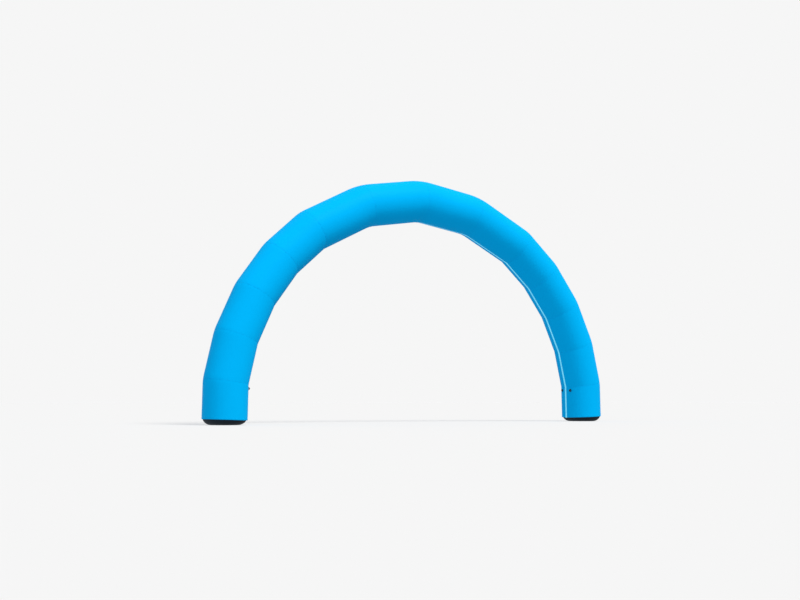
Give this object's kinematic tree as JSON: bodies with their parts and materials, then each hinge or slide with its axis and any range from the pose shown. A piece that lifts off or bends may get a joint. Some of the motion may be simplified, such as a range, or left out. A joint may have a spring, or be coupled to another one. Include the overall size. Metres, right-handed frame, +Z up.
{
  "type": "inflatable arch",
  "caption": "Free-standing air-sealed event arch: a zipped bright blue cover of mitred tube panels over a black air tube, with black webbing guy loops on both legs.",
  "frame": {"origin": "on the ground, midway between the two feet", "axes": "+X along the span from the left foot to the right, +Y along the way through the arch from front to back, +Z up"},
  "size_m": [7.2398, 0.647, 3.7951],
  "materials": {
    "cover_fabric": "dyed woven polyester cover, stretched smooth",
    "air_tube_fabric": "black coated airtight fabric, satin",
    "zip_tape": "pale woven zip tape with plastic teeth",
    "webbing": "black woven webbing"
  },
  "bodies": {
    "root": {"air_tube": "air_tube_fabric", "foot_panel_left": "cover_fabric", "foot_panel_right": "cover_fabric", "panel_left_1": "cover_fabric", "panel_left_2": "cover_fabric", "panel_left_3": "cover_fabric", "panel_left_4": "cover_fabric", "panel_left_5": "cover_fabric", "panel_left_6": "cover_fabric", "panel_right_1": "cover_fabric", "panel_right_2": "cover_fabric", "panel_right_3": "cover_fabric", "panel_right_4": "cover_fabric", "panel_right_5": "cover_fabric", "panel_right_6": "cover_fabric", "inner_zip": "zip_tape", "guy_loop_left_front": "webbing", "guy_loop_left_back": "webbing", "guy_loop_right_front": "webbing", "guy_loop_right_back": "webbing"}
  },
  "joints": []
}
